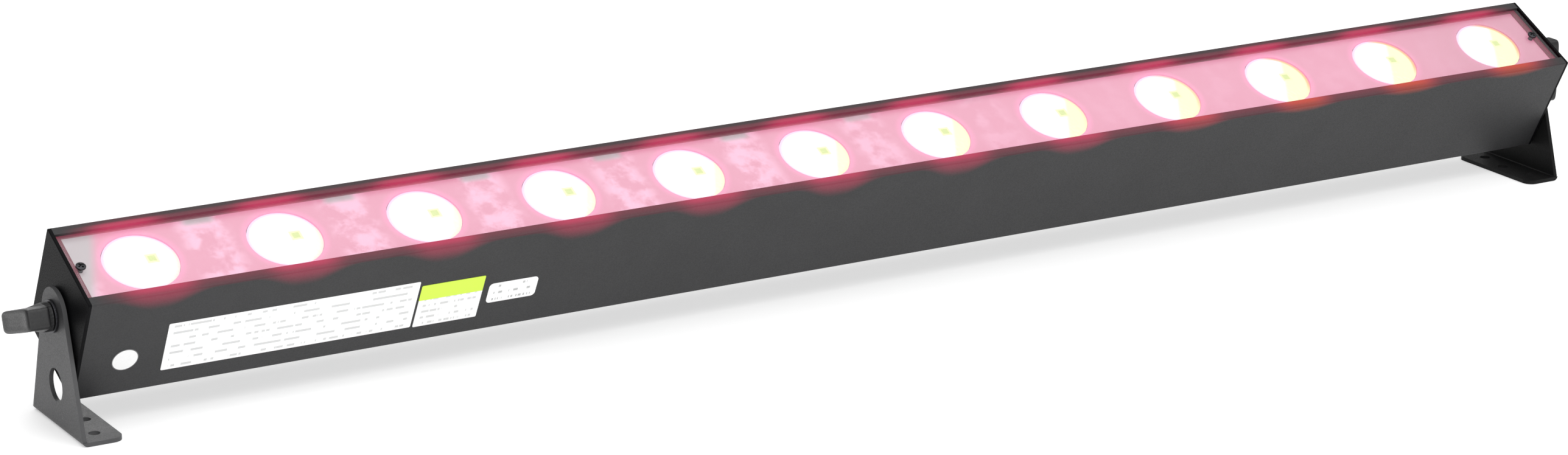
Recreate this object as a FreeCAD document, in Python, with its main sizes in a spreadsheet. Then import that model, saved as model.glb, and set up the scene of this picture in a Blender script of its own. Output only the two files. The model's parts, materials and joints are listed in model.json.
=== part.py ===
import FreeCAD, Part
import Sketcher
import math
import os
import re

from FreeCAD import Placement, Rotation, Vector

# LED strip batten: a sheet-steel channel with twelve lenses under a clear cover, hung between two
# L-shaped floor brackets.  A T-knob on a threaded stud clamps each bracket to the end of the channel.
# Row frame: origin on the floor under the tilt axis, half way along; +X along the batten, +Z up.
# Housing frame: origin where the tilt axis crosses mid-length; +Z is the way the lenses face.

# ------------------------------------------------------------------ driving dimensions, mm and degrees
DIMENSIONS = {
    "body_length": 1000, "body_width": 61.2, "body_height": 69.4,
    "wall": 1.6, "lip_width": 5.9, "corner_round": 1.0, "end_thick": 2.0, "corner_break": 0.5,
    "pivot_height": 63, "rest_tilt": 27,
    "tab_depth": 16, "tab_width": 40, "tab_screw_pitch": 24, "tab_screw_inset": 10,
    "cover_thick": 2.0, "cover_gap": 0.4, "gasket_thick": 1.0, "gasket_strip": 3.5, "plate_thick": 1.5,
    "cover_screw_inset": 7.5, "cover_tab_width": 24,
    "lens_pitch": 83.3, "lens_flange": 21.0, "lens_hole": 21.3, "lens_neck": 20.0, "lens_foot": 8.0,
    "lens_well": 5.4, "lens_well_depth": 2.8, "lens_rim": 1.8, "lens_proud": 0.3, "lens_height": 19.4,
    "emitter_size": 6.8, "emitter_base": 1.0, "emitter_dome": 2.6, "emitter_dome_height": 0.9,
    "board_length": 970, "board_width": 40, "board_thick": 1.6,
    "spreader_web": 3.0, "spreader_leg": 2.5, "spreader_depth": 10.4,
    "pillar": 3.0, "pillar_side": 16,
    "screw_head": 2.8, "screw_head_thick": 1.2, "screw_shank": 1.5, "screw_clearance": 1.7,
    "bumper": 6.5, "bumper_thick": 1.2, "bumper_inset": 8, "bumper_left": 450, "bumper_right": 422,
    "supply_start": -340, "supply_length": 280, "driver_start": 20, "driver_length": 200,
    "inner_board_width": 44, "standoff": 3.0, "standoff_height": 6, "standoff_inset": 8,
    "panel_level": -15, "socket_radius": 9.6, "socket_shell": 11.8, "socket_depth": 12,
    "socket_body": 18, "flange_width": 26, "flange_height": 29, "flange_thick": 2.0, "flange_screw": 10.5,
    "contact": 1.25, "contact_circle": 5, "contact_depth": 4,
    "fuse_cap": 7.0, "fuse_cap_thick": 2.0, "fuse_barrel": 5.8, "fuse_length": 22,
    "window_length": 30, "window_height": 13, "window_place": 395, "window_proud": 0.3,
    "module_length": 26, "module_height": 11,
    "button": 3.5, "button_gap": 0.3, "button_collar": 4.6, "button_proud": 1.4, "button_pitch": 12,
    "button_start": 424, "collar_thick": 2.0, "collar_behind": 1.5, "switch_size": 6, "switch_gap": 1.3,
    "control_back": 11, "control_start": 376, "control_length": 94, "control_height": 22,
    "label_thick": 0.2, "sticker": 7.6,
    "stud": 4.0, "running_gap": 0.05, "free_gap": 0.3, "nut_size": 7.6, "nut_thick": 8,
    "friction_disc": 11, "friction_thick": 0.7,
    "bracket_thick": 2.4, "bracket_width": 71, "bracket_head": 15.5, "foot_length": 23.8,
    "foot_corner": 6, "bend_outside": 3.2, "bend_inside": 0.8,
    "cable_hole": 9.2, "cable_hole_height": 24.5, "foot_hole": 3.25, "foot_hole_inset": 11.6,
    "foot_hole_pitch": 22.5, "middle_hole_shift": 4.0,
    "washer": 9.0, "washer_thick": 1.5, "hub": 8.0, "hub_length": 5.6, "stud_grip": 10.6,
    "wing_span": 40.5, "wing_thick": 12.4, "wing_depth": 13.6, "wing_corner": 3.0, "wing_edge": 1.5,
    "left_knob_turn": 72, "right_knob_turn": 0,
}
LENSES = 12

doc = FreeCAD.newDocument("led_strip_batten")
sheet = doc.addObject("Spreadsheet::Sheet", "sizes")
for row, (alias, size) in enumerate(DIMENSIONS.items(), start=1):
    sheet.set(f"A{row}", alias)
    sheet.set(f"B{row}", str(size))
    sheet.setAlias(f"B{row}", alias)
doc.recompute()

NODES = []


# ------------------------------------------------------------------ reading and binding the sizes
def bind(expression):
    """An expression of plain aliases, written with the sheet's name as other objects need it."""
    return re.sub(r"[a-z][a-z_]+", lambda word: f"sizes.{word.group()}", expression)


def number(expression):
    """What an expression of aliases comes to now."""
    return float(sheet.evalExpression(bind(expression)))


def drive(piece, **sizes):
    """Bind each named property of a piece to its expression."""
    for name, expression in sizes.items():
        piece.setExpression(name, bind(expression))


# Levels in the housing frame, from the lens side down.
OUTER = "body_width/2"
TOP = "body_height/2"
INSIDE = f"({OUTER} - wall)"
COVER_BASE = f"({TOP} - wall - cover_thick)"
PLATE_TOP = f"({COVER_BASE} - gasket_thick)"
PLATE_BASE = f"({PLATE_TOP} - plate_thick)"
LENS_TOP = f"({PLATE_TOP} + lens_proud)"
BOARD_TOP = f"({LENS_TOP} - lens_height)"
SPREADER_TOP = f"({BOARD_TOP} - board_thick)"
FLOOR = f"(wall - {TOP})"
END = "(body_length/2 - end_thick)"
INNER_BOARD = f"({FLOOR} + standoff_height)"
CONTROL_FACE = f"({INSIDE} - control_back + board_thick)"

# Distances out along the tilt axis, from mid-length.
BRACKET_FACE = "(body_length/2 + free_gap + friction_thick)"
BRACKET_OUTER = f"({BRACKET_FACE} + bracket_thick)"
WASHER_FACE = f"({BRACKET_OUTER} + free_gap)"
HUB_FACE = f"({WASHER_FACE} + washer_thick + free_gap)"
STUD_START = f"({END} - nut_thick)"

SIDES = {"left": 180, "right": 0}
PIVOT = Placement(Vector(0, 0, number("pivot_height")), Rotation())
HOUSING = PIVOT * Placement(Vector(), Rotation(Vector(1, 0, 0), number("rest_tilt")))


def turned(degrees, axis=Vector(0, 0, 1)):
    return Placement(Vector(), Rotation(axis, degrees))


# ------------------------------------------------------------------ sketches and PartDesign features
def new_body(label):
    piece = doc.addObject("PartDesign::Body", label)
    piece.Label = label
    return piece


def new_sketch(piece, plane, level="0"):
    """A sketch on one of the body's own origin planes, lifted along the plane's normal."""
    origin_plane = next(item for item in piece.Origin.OriginFeatures if item.Role == plane)
    sketch = piece.newObject("Sketcher::SketchObject", f"{piece.Name}_sketch")
    sketch.AttachmentSupport = [(origin_plane, "")]
    sketch.MapMode = "FlatFace"
    sketch.setExpression("AttachmentOffset.Base.z", bind(level))
    return sketch


def measure(sketch, kind, expression, *where):
    """One dimension of a sketch, bound to the sheet."""
    index = sketch.addConstraint(Sketcher.Constraint(kind, *where, number(expression)))
    sketch.renameConstraint(index, f"{kind}_{index}")
    sketch.setExpression(f"Constraints.{kind}_{index}", bind(expression))


def pin_point(sketch, geometry, end, across, up):
    """Hold one point of a sketch at its distances from the sketch's origin."""
    for kind, expression, axis in (("DistanceX", across, -2), ("DistanceY", up, -1)):
        if abs(number(expression)) < 1e-9:
            sketch.addConstraint(Sketcher.Constraint("PointOnObject", geometry, end, axis))
        else:
            measure(sketch, kind, expression, -1, 1, geometry, end)


def draw_outline(sketch, corners):
    """A closed outline of straight lines through the given corners."""
    points = [Vector(number(across), number(up), 0) for across, up in corners]
    first = sketch.GeometryCount
    count = len(points)
    for index, point in enumerate(points):
        sketch.addGeometry(Part.LineSegment(point, points[(index + 1) % count]), False)
    for index in range(count):
        following = first + (index + 1) % count
        sketch.addConstraint(Sketcher.Constraint("Coincident", first + index, 2, following, 1))
    for index, (across, up) in enumerate(corners):
        pin_point(sketch, first + index, 1, across, up)


def draw_rectangle(sketch, low_across, low_up, high_across, high_up):
    draw_outline(sketch, [(low_across, low_up), (high_across, low_up),
                          (high_across, high_up), (low_across, high_up)])


def draw_circle(sketch, across, up, radius):
    centre = Vector(number(across), number(up), 0)
    index = sketch.addGeometry(Part.Circle(centre, Vector(0, 0, 1), number(radius)), False)
    pin_point(sketch, index, 3, across, up)
    measure(sketch, "Radius", radius, index)


def pad(piece, sketch, length, side="One side"):
    feature = piece.newObject("PartDesign::Pad", f"{piece.Name}_pad")
    feature.Profile = sketch
    feature.SideType = side
    drive(feature, Length=length)
    doc.recompute()
    return feature


def pocket(piece, sketch, length, reverse=False):
    """Cut a sketch into the body, and make sure that the cut meets it."""
    before = piece.Shape.Volume
    feature = piece.newObject("PartDesign::Pocket", f"{piece.Name}_pocket")
    feature.Profile = sketch
    feature.Reversed = reverse
    drive(feature, Length=length)
    doc.recompute()
    if piece.Shape.Volume > before - 0.01:
        raise RuntimeError(f"{feature.Name} cuts nothing")


def round_edges(piece, radius, wanted):
    """Fillet the edges of the body's last feature that the test picks."""
    base = piece.Tip
    picked = [f"Edge{place}" for place, edge in enumerate(base.Shape.Edges, start=1) if wanted(edge)]
    if not picked:
        raise RuntimeError(f"{piece.Label} has no edge to round")
    feature = piece.newObject("PartDesign::Fillet", f"{piece.Name}_fillet")
    feature.Base = (base, picked)
    drive(feature, Radius=radius)
    doc.recompute()


def runs_along(edge, axis):
    """True for a straight edge that lies along the given axis."""
    if not isinstance(edge.Curve, Part.Line):
        return False
    return edge.Curve.Direction.cross(axis).Length < 1e-6


def near(edge, **place):
    """True for an edge whose centre lies at the given coordinates."""
    centre = edge.CenterOfMass
    return all(abs(getattr(centre, axis) - wanted) < 0.01 for axis, wanted in place.items())


# ------------------------------------------------------------------ Part primitives and booleans
AIM = {"x": Rotation(Vector(0, 1, 0), 90), "y": Rotation(Vector(1, 0, 0), -90), "z": Rotation()}


def place(piece, at, rotation=Rotation()):
    piece.Placement = Placement(Vector(*map(number, at)), rotation)
    for axis, expression in zip("xyz", at):
        piece.setExpression(f"Placement.Base.{axis}", bind(expression))


def block(size, at):
    """A box by its three sizes and its lowest corner."""
    piece = doc.addObject("Part::Box", "block")
    drive(piece, Length=size[0], Width=size[1], Height=size[2])
    place(piece, at)
    return piece


def rod(axis, radius, length, at):
    """A cylinder along +x, +y or +z from the centre of its first end."""
    piece = doc.addObject("Part::Cylinder", "rod")
    drive(piece, Radius=radius, Height=length)
    place(piece, at, AIM[axis])
    return piece


def join(pieces):
    piece = doc.addObject("Part::MultiFuse", "join")
    piece.Shapes = pieces
    return piece


def cut(base, tool):
    piece = doc.addObject("Part::Cut", "cut")
    piece.Base = base
    piece.Tool = tool
    return piece


def ring(axis, outer, inner, length, at):
    return cut(rod(axis, outer, length, at), rod(axis, inner, length, at))


def keep(piece, frame):
    """Set a finished sub-part in its place and list it for export."""
    piece.Placement = frame
    NODES.append(piece)


def keep_group(label, pieces, frame=HOUSING):
    """Solids made of primitives, kept together as one sub-part."""
    group = doc.addObject("Part::Compound", label)
    group.Label = label
    group.Links = pieces
    keep(group, frame)


# ------------------------------------------------------------------ channel and end plates
SOCKETS = {"power_inlet": -430, "power_outlet": -390, "data_in_socket": 300, "data_out_socket": 340}
FUSE_PLACE = -354
BUTTONS = ["menu_button", "down_button", "up_button", "enter_button"]
TAB_SCREWS = [(f"{end}*({END} - tab_screw_inset)", f"{row}*tab_screw_pitch/2")
              for end in (-1, 1) for row in (-1, 1)]


def button_place(index):
    return f"button_start + {index}*button_pitch"


def housing_channel():
    channel = new_body("housing_channel")
    profile = new_sketch(channel, "YZ_Plane")
    lip = f"({OUTER} - lip_width)"
    lip_base = f"{TOP} - wall"
    half = [(OUTER, f"-{TOP}"), (OUTER, TOP), (lip, TOP), (lip, lip_base),
            (INSIDE, lip_base), (INSIDE, FLOOR)]
    mirrored = [(f"-{across}", up) for across, up in reversed(half)]
    draw_outline(profile, half + mirrored)
    pad(channel, profile, f"2*{END}", "Symmetric")
    along = Vector(1, 0, 0)
    across, up = number(OUTER), number(TOP)
    round_edges(channel, "corner_round", lambda edge: runs_along(edge, along)
                and abs(abs(edge.CenterOfMass.y) - across) < 0.01
                and abs(abs(edge.CenterOfMass.z) - up) < 0.01)

    openings = new_sketch(channel, "XZ_Plane", f"1 - {INSIDE}")
    for where in SOCKETS.values():
        draw_circle(openings, f"{where}", "panel_level", "socket_shell")
    draw_circle(openings, f"{FUSE_PLACE}", "panel_level", "fuse_barrel")
    draw_rectangle(openings, "window_place - window_length/2", "panel_level - window_height/2",
                   "window_place + window_length/2", "panel_level + window_height/2")
    for index in range(len(BUTTONS)):
        draw_circle(openings, button_place(index), "panel_level", "button + button_gap")
    pocket(channel, openings, "wall + 2")

    screw_holes = new_sketch(channel, "XY_Plane", f"{FLOOR} + 1")
    for along_x, along_y in TAB_SCREWS:
        draw_circle(screw_holes, along_x, along_y, "screw_shank")
    pocket(channel, screw_holes, "wall + 2")
    keep(channel, HOUSING)


def end_plate(side):
    """Flat plate with a tab bent in under the cover and one bent in over the channel's floor."""
    plate = new_body(f"{side}_end_plate")
    face = new_sketch(plate, "YZ_Plane", END)
    draw_rectangle(face, f"-{OUTER}", f"-{TOP}", OUTER, TOP)
    pad(plate, face, "end_thick")
    along = Vector(1, 0, 0)
    round_edges(plate, "corner_round", lambda edge: runs_along(edge, along))
    outer_face = number("body_length/2")
    round_edges(plate, "corner_break", lambda edge: near(edge, x=outer_face))

    floor_tab = new_sketch(plate, "XY_Plane", FLOOR)
    draw_rectangle(floor_tab, f"{END} - tab_depth", "-tab_width/2", f"{END} + end_thick/2", "tab_width/2")
    pad(plate, floor_tab, "wall")
    cover_tab = new_sketch(plate, "XY_Plane", f"{PLATE_BASE} - wall")
    draw_rectangle(cover_tab, f"{END} - tab_depth", "-cover_tab_width/2",
                   f"{END} + end_thick/2", "cover_tab_width/2")
    pad(plate, cover_tab, "wall")

    bore = new_sketch(plate, "YZ_Plane", "body_length/2 + 1")
    draw_circle(bore, "0", "0", "stud + free_gap")
    pocket(plate, bore, "end_thick + 2")
    floor_holes = new_sketch(plate, "XY_Plane", f"{FLOOR} + wall + 1")
    for row in (-1, 1):
        draw_circle(floor_holes, f"{END} - tab_screw_inset", f"{row}*tab_screw_pitch/2", "screw_shank")
    pocket(plate, floor_holes, "wall + 2")
    cover_hole = new_sketch(plate, "XY_Plane", f"{PLATE_BASE} + 1")
    draw_circle(cover_hole, "body_length/2 - cover_screw_inset", "0", "screw_shank")
    pocket(plate, cover_hole, "wall + 2")
    keep(plate, HOUSING * turned(SIDES[side]))


def housing_screws():
    """Screws up through the floor into the end plates' tabs, and screws that hold the socket flanges."""
    screws = []
    for along_x, along_y in TAB_SCREWS:
        head = rod("z", "screw_head", "screw_head_thick", (along_x, along_y, f"-{TOP} - screw_head_thick"))
        shank = rod("z", "screw_shank", "3*wall", (along_x, along_y, f"-{TOP}"))
        screws.append(join([head, shank]))
    for along in SOCKETS.values():
        for side in (-1, 1):
            at_x, at_z = f"{along} + {side}*flange_screw", f"panel_level + {side}*flange_screw"
            shank = rod("y", "screw_shank", "flange_thick", (at_x, OUTER, at_z))
            head = rod("y", "screw_head", "screw_head_thick", (at_x, f"{OUTER} + flange_thick", at_z))
            screws.append(join([shank, head]))
    keep_group("housing_screws", screws)


def pivot_nuts():
    """Hexagon nuts welded inside the end plates; the knobs' studs turn in them."""
    nuts = []
    for start in (STUD_START, f"-{END}"):
        hexagon = doc.addObject("Part::Prism", "hexagon")
        hexagon.Polygon = 6
        drive(hexagon, Circumradius="nut_size", Height="nut_thick")
        place(hexagon, (start, "0", "0"), AIM["x"])
        bore = rod("x", "stud + running_gap", "nut_thick", (start, "0", "0"))
        nuts.append(cut(hexagon, bore))
    keep_group("pivot_nuts", nuts)


def rubber_bumpers():
    across = f"({OUTER} - bumper_inset)"
    bumpers = [rod("z", "bumper", "bumper_thick", (along, f"{row}*{across}", f"-{TOP} - bumper_thick"))
               for along in ("-bumper_left", "bumper_right") for row in (-1, 1)]
    keep_group("rubber_bumpers", bumpers)


# ------------------------------------------------------------------ cover, reflector plate and lenses
def sheet_with_holes(label, level, thick, half_width, holes):
    """A flat sheet as long as the inside of the channel, with round holes."""
    flat = new_body(label)
    face = new_sketch(flat, "XY_Plane", level)
    half_length = f"({END} - cover_gap)"
    draw_rectangle(face, f"-{half_length}", f"-{half_width}", half_length, half_width)
    for along, across, radius in holes:
        draw_circle(face, along, across, radius)
    pad(flat, face, thick)
    keep(flat, HOUSING)


COVER_SCREWS = [(f"{end}*(body_length/2 - cover_screw_inset)", "0", "screw_clearance") for end in (-1, 1)]


def lens_place(index):
    return f"{index - (LENSES - 1)/2}*lens_pitch"


def clear_cover():
    sheet_with_holes("clear_cover", COVER_BASE, "cover_thick", f"({INSIDE} - cover_gap)", COVER_SCREWS)


def cover_gasket():
    half_length, half_width = f"({END} - cover_gap)", f"({INSIDE} - cover_gap)"
    outer = block((f"2*{half_length}", f"2*{half_width}", "gasket_thick"),
                  (f"-{half_length}", f"-{half_width}", PLATE_TOP))
    inner = block((f"2*{half_length} - 2*gasket_strip", f"2*{half_width} - 2*gasket_strip", "gasket_thick"),
                  (f"gasket_strip - {half_length}", f"gasket_strip - {half_width}", PLATE_TOP))
    keep_group("cover_gasket", [cut(outer, inner)])


def cover_screws():
    screws = []
    for along, across, _ in COVER_SCREWS:
        head = rod("z", "screw_head", "screw_head_thick", (along, across, f"{TOP} - wall"))
        reach = "(cover_thick + gasket_thick + plate_thick + 2*wall)"
        shank = rod("z", "screw_shank", reach, (along, across, f"{TOP} - wall - {reach}"))
        screws.append(join([head, shank]))
    keep_group("cover_screws", screws)


def reflector_plate():
    holes = [(lens_place(index), "0", "lens_hole") for index in range(LENSES)]
    sheet_with_holes("reflector_plate", PLATE_BASE, "plate_thick", f"({INSIDE} - cover_gap)",
                     holes + COVER_SCREWS)


def reflector_pillars():
    height = f"{PLATE_BASE} - {BOARD_TOP}"
    pillars = [rod("z", "pillar", height, (f"{2*step}*lens_pitch", f"{row}*pillar_side", BOARD_TOP))
               for step in range(-2, 3) for row in (-1, 1)]
    keep_group("reflector_pillars", pillars)


def lens(index):
    """Collimator turned from clear plastic: a cone on a short foot, with a well over its emitter."""
    piece = new_body(f"lens_{index + 1:02d}")
    profile = new_sketch(piece, "XZ_Plane")
    rim_base = f"{LENS_TOP} - lens_rim"
    well_top = f"{BOARD_TOP} + lens_well_depth"
    draw_outline(profile, [("0", well_top), ("lens_well", well_top), ("lens_well", BOARD_TOP),
                           ("lens_foot", BOARD_TOP), ("lens_neck", rim_base), ("lens_flange", rim_base),
                           ("lens_flange", LENS_TOP), ("0", LENS_TOP)])
    turn = piece.newObject("PartDesign::Revolution", f"{piece.Name}_turn")
    turn.Profile = profile
    turn.ReferenceAxis = (profile, ["V_Axis"])
    turn.Angle = 360
    doc.recompute()
    keep(piece, HOUSING * Placement(Vector(number(lens_place(index)), 0, 0), Rotation()))


def led_emitters():
    emitters = []
    for index in range(LENSES):
        centre = lens_place(index)
        base = block(("emitter_size", "emitter_size", "emitter_base"),
                     (f"{centre} - emitter_size/2", "-emitter_size/2", BOARD_TOP))
        dome = rod("z", "emitter_dome", "emitter_dome_height", (centre, "0", f"{BOARD_TOP} + emitter_base"))
        emitters.append(join([base, dome]))
    keep_group("led_emitters", emitters)


# ------------------------------------------------------------------ LED board and what carries it
BOARD_SCREWS = [f"{step}*lens_pitch" for step in (-5, -3, -1, 1, 3, 5)]


def board_screw_holes():
    length = "board_thick + spreader_web"
    return join([rod("z", "screw_shank", length, (along, "0", f"{BOARD_TOP} - {length}"))
                 for along in BOARD_SCREWS])


def led_board():
    board = block(("board_length", "board_width", "board_thick"),
                  ("-board_length/2", "-board_width/2", SPREADER_TOP))
    keep_group("led_board", [cut(board, board_screw_holes())])


def heat_spreader():
    spreader = new_body("heat_spreader")
    profile = new_sketch(spreader, "YZ_Plane")
    leg_inside = f"({INSIDE} - spreader_leg)"
    web_base = f"{SPREADER_TOP} - spreader_web"
    leg_end = f"{SPREADER_TOP} - spreader_depth"
    half = [(INSIDE, SPREADER_TOP), (INSIDE, leg_end), (leg_inside, leg_end), (leg_inside, web_base)]
    draw_outline(profile, half + [(f"-{across}", up) for across, up in reversed(half)])
    pad(spreader, profile, "board_length", "Symmetric")
    holes = new_sketch(spreader, "XY_Plane", f"{SPREADER_TOP} + 1")
    for along in BOARD_SCREWS:
        draw_circle(holes, along, "0", "screw_shank")
    pocket(spreader, holes, "spreader_web + 2")
    keep(spreader, HOUSING)


def board_screws():
    screws = []
    for along in BOARD_SCREWS:
        length = "board_thick + spreader_web"
        shank = rod("z", "screw_shank", length, (along, "0", f"{BOARD_TOP} - {length}"))
        head = rod("z", "screw_head", "screw_head_thick", (along, "0", BOARD_TOP))
        screws.append(join([head, shank]))
    keep_group("board_screws", screws)


# ------------------------------------------------------------------ power supply, driver and controls
def inner_board(label, start, length):
    board = block((length, "inner_board_width", "board_thick"),
                  (start, "-inner_board_width/2", INNER_BOARD))
    keep_group(label, [board])


def board_standoffs():
    """Posts under the two floor boards, and between the control board and the back wall."""
    posts = []
    for start, length in (("supply_start", "supply_length"), ("driver_start", "driver_length")):
        for along in (f"{start} + standoff_inset", f"{start} + {length} - standoff_inset"):
            for row in (-1, 1):
                across = f"{row}*(inner_board_width/2 - standoff_inset)"
                posts.append(rod("z", "standoff", "standoff_height", (along, across, FLOOR)))
    for along in ("control_start + standoff/2", "control_start + control_length - standoff/2"):
        posts.append(rod("y", "standoff/2", "control_back - board_thick",
                         (along, CONTROL_FACE, "panel_level")))
    keep_group("board_standoffs", posts)


def parts_on_board(label, sizes, start, gap):
    """Box-shaped components in a row down the middle of an inner board."""
    row = []
    along = start
    for length, width, height in sizes:
        row.append(block((length, width, height), (along, f"-{width}/2", f"{INNER_BOARD} + board_thick")))
        along = f"{along} + {length} + {gap}"
    keep_group(label, row)


def capacitors():
    level = f"{INNER_BOARD} + board_thick"
    cans = [rod("z", "9", "22", (f"supply_start + supply_length - {30 + 24*index}", "0", level))
            for index in range(3)]
    keep_group("capacitors", cans)


def control_board():
    board = block(("control_length", "board_thick", "control_height"),
                  ("control_start", f"{INSIDE} - control_back", "panel_level - control_height/2"))
    keep_group("control_board", [board])


def display_window():
    window = block(("window_length", "wall + 2*window_proud", "window_height"),
                   ("window_place - window_length/2", f"{INSIDE} - window_proud",
                    "panel_level - window_height/2"))
    keep_group("display_window", [window])


def display_module():
    module = block(("module_length", "control_back - board_thick - window_proud", "module_height"),
                   ("window_place - module_length/2", CONTROL_FACE, "panel_level - module_height/2"))
    keep_group("display_module", [module])


def button_switches():
    """One small switch on the control board behind each button, clear of it when it is pressed home."""
    height = "(control_back - board_thick - collar_behind - collar_thick - switch_gap)"
    switches = [block(("switch_size", height, "switch_size"),
                      (f"{button_place(index)} - switch_size/2", CONTROL_FACE, "panel_level - switch_size/2"))
                for index in range(len(BUTTONS))]
    keep_group("button_switches", switches)


def button(index, label):
    """Round cap through the back wall, with a collar behind the wall that keeps it in."""
    start = f"{INSIDE} - collar_behind - collar_thick"
    collar = rod("y", "button_collar", "collar_thick", (button_place(index), start, "panel_level"))
    cap = rod("y", "button", "collar_behind + collar_thick + wall + button_proud",
              (button_place(index), start, "panel_level"))
    keep_group(label, [join([collar, cap])])


# ------------------------------------------------------------------ sockets and fuse on the back wall
def chassis_socket(label, along):
    """Flanged round socket with three recessed contacts in the floor of its well."""
    rear = f"{OUTER} + flange_thick - socket_body"
    flange = block(("flange_width", "flange_thick", "flange_height"),
                   (f"{along} - flange_width/2", OUTER, "panel_level - flange_height/2"))
    shell = rod("y", "socket_shell", "socket_body", (f"{along}", rear, "panel_level"))
    floor = f"{OUTER} + flange_thick - socket_depth"
    well = rod("y", "socket_radius", "socket_depth", (f"{along}", floor, "panel_level"))
    contacts = []
    for step in range(3):
        angle = math.radians(90 + 120*step)
        at = (f"{along} + {math.cos(angle):.6f}*contact_circle", f"{floor} - contact_depth",
              f"panel_level + {math.sin(angle):.6f}*contact_circle")
        contacts.append(rod("y", "contact", "contact_depth + 1", at))
    screw_holes = [rod("y", "screw_shank", "flange_thick",
                       (f"{along} + {side}*flange_screw", OUTER, f"panel_level + {side}*flange_screw"))
                   for side in (-1, 1)]
    keep_group(label, [cut(join([flange, shell]), join([well] + contacts + screw_holes))])


def fuse_holder():
    barrel = rod("y", "fuse_barrel", "fuse_length",
                 (f"{FUSE_PLACE}", f"{OUTER} - fuse_length", "panel_level"))
    cap = rod("y", "fuse_cap", "fuse_cap_thick", (f"{FUSE_PLACE}", OUTER, "panel_level"))
    keep_group("fuse_holder", [join([barrel, cap])])


# ------------------------------------------------------------------ labels on the front wall
LABELS = {  # left edge, lower edge, length, height in the housing frame
    "rating_label": (-451, -22.8, 147.5, 34),
    "notice_label": (-302, -23.4, 39, 31),
    "small_label": (-259, -14.3, 30.5, 14.5),
}


def labels():
    for label, (left, low, length, height) in LABELS.items():
        patch = block((f"{length}", "label_thick", f"{height}"),
                      (f"{left}", f"-{OUTER} - label_thick", f"{low}"))
        keep_group(label, [patch])
    spot = rod("y", "sticker", "label_thick", ("-473", f"-{OUTER} - label_thick", "-10"))
    keep_group("round_sticker", [spot])


# ------------------------------------------------------------------ brackets, discs, washers and knobs
def bracket(side):
    """L-shaped plate: a tapering upright with a round head, and a foot bent in under the housing."""
    piece = new_body(f"{side}_bracket")
    upright = new_sketch(piece, "YZ_Plane", BRACKET_FACE)
    half, head, height = number("bracket_width/2"), number("bracket_head"), number("pivot_height")
    centre = Vector(0, height, 0)
    slope = math.atan2(-height, half) + math.acos(head/math.hypot(half, height))
    tangent = centre + Vector(head*math.cos(slope), head*math.sin(slope), 0)
    mirrored = Vector(-tangent.x, tangent.y, 0)
    circle = Part.Circle(centre, Vector(0, 0, 1), head)
    upright.addGeometry([Part.LineSegment(Vector(-half, 0, 0), Vector(half, 0, 0)),
                         Part.LineSegment(Vector(half, 0, 0), tangent),
                         Part.ArcOfCircle(circle, slope, math.pi - slope),
                         Part.LineSegment(mirrored, Vector(-half, 0, 0))], False)
    for first, first_end, second, second_end, kind in ((0, 2, 1, 1, "Coincident"), (1, 2, 2, 1, "Tangent"),
                                                       (2, 2, 3, 1, "Tangent"), (3, 2, 0, 1, "Coincident")):
        upright.addConstraint(Sketcher.Constraint(kind, first, first_end, second, second_end))
    pin_point(upright, 0, 1, "-bracket_width/2", "0")
    pin_point(upright, 0, 2, "bracket_width/2", "0")
    pin_point(upright, 2, 3, "0", "pivot_height")
    measure(upright, "Radius", "bracket_head", 2)
    pad(piece, upright, "bracket_thick")

    foot = new_sketch(piece, "XY_Plane")
    draw_rectangle(foot, f"{BRACKET_OUTER} - foot_length", "-bracket_width/2",
                   BRACKET_OUTER, "bracket_width/2")
    pad(piece, foot, "bracket_thick")
    outer, inner = number(BRACKET_OUTER), number(BRACKET_FACE)
    thick, tip = number("bracket_thick"), number(f"{BRACKET_OUTER} - foot_length")
    across, up = Vector(0, 1, 0), Vector(0, 0, 1)
    round_edges(piece, "bend_outside", lambda edge: runs_along(edge, across) and near(edge, x=outer, z=0))
    round_edges(piece, "bend_inside", lambda edge: runs_along(edge, across) and near(edge, x=inner, z=thick))
    round_edges(piece, "foot_corner", lambda edge: runs_along(edge, up) and near(edge, x=tip))

    side_holes = new_sketch(piece, "YZ_Plane", f"{BRACKET_OUTER} + 1")
    draw_circle(side_holes, "0", "pivot_height", "stud + running_gap")
    draw_circle(side_holes, "0", "cable_hole_height", "cable_hole")
    pocket(piece, side_holes, "bracket_thick + 2")
    foot_holes = new_sketch(piece, "XY_Plane", "bracket_thick + 1")
    for row in (-1, 0, 1):
        inset = "foot_hole_inset" if row else "(foot_hole_inset + middle_hole_shift)"
        draw_circle(foot_holes, f"{BRACKET_OUTER} - {inset}", f"{row}*foot_hole_pitch", "foot_hole")
    pocket(piece, foot_holes, "bracket_thick + 2")
    keep(piece, turned(SIDES[side]))


def friction_disc(side):
    disc = ring("x", "friction_disc", "stud + free_gap", "friction_thick",
                ("body_length/2 + free_gap", "0", "0"))
    keep_group(f"{side}_friction_disc", [disc], PIVOT * turned(SIDES[side]))


def washer(side):
    disc = ring("x", "washer", "stud + free_gap", "washer_thick", (WASHER_FACE, "0", "0"))
    keep_group(f"{side}_washer", [disc], PIVOT * turned(SIDES[side]))


def knob_frame(side):
    return PIVOT * turned(number(f"{side}_knob_turn"), Vector(1, 0, 0)) * turned(SIDES[side])


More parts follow.
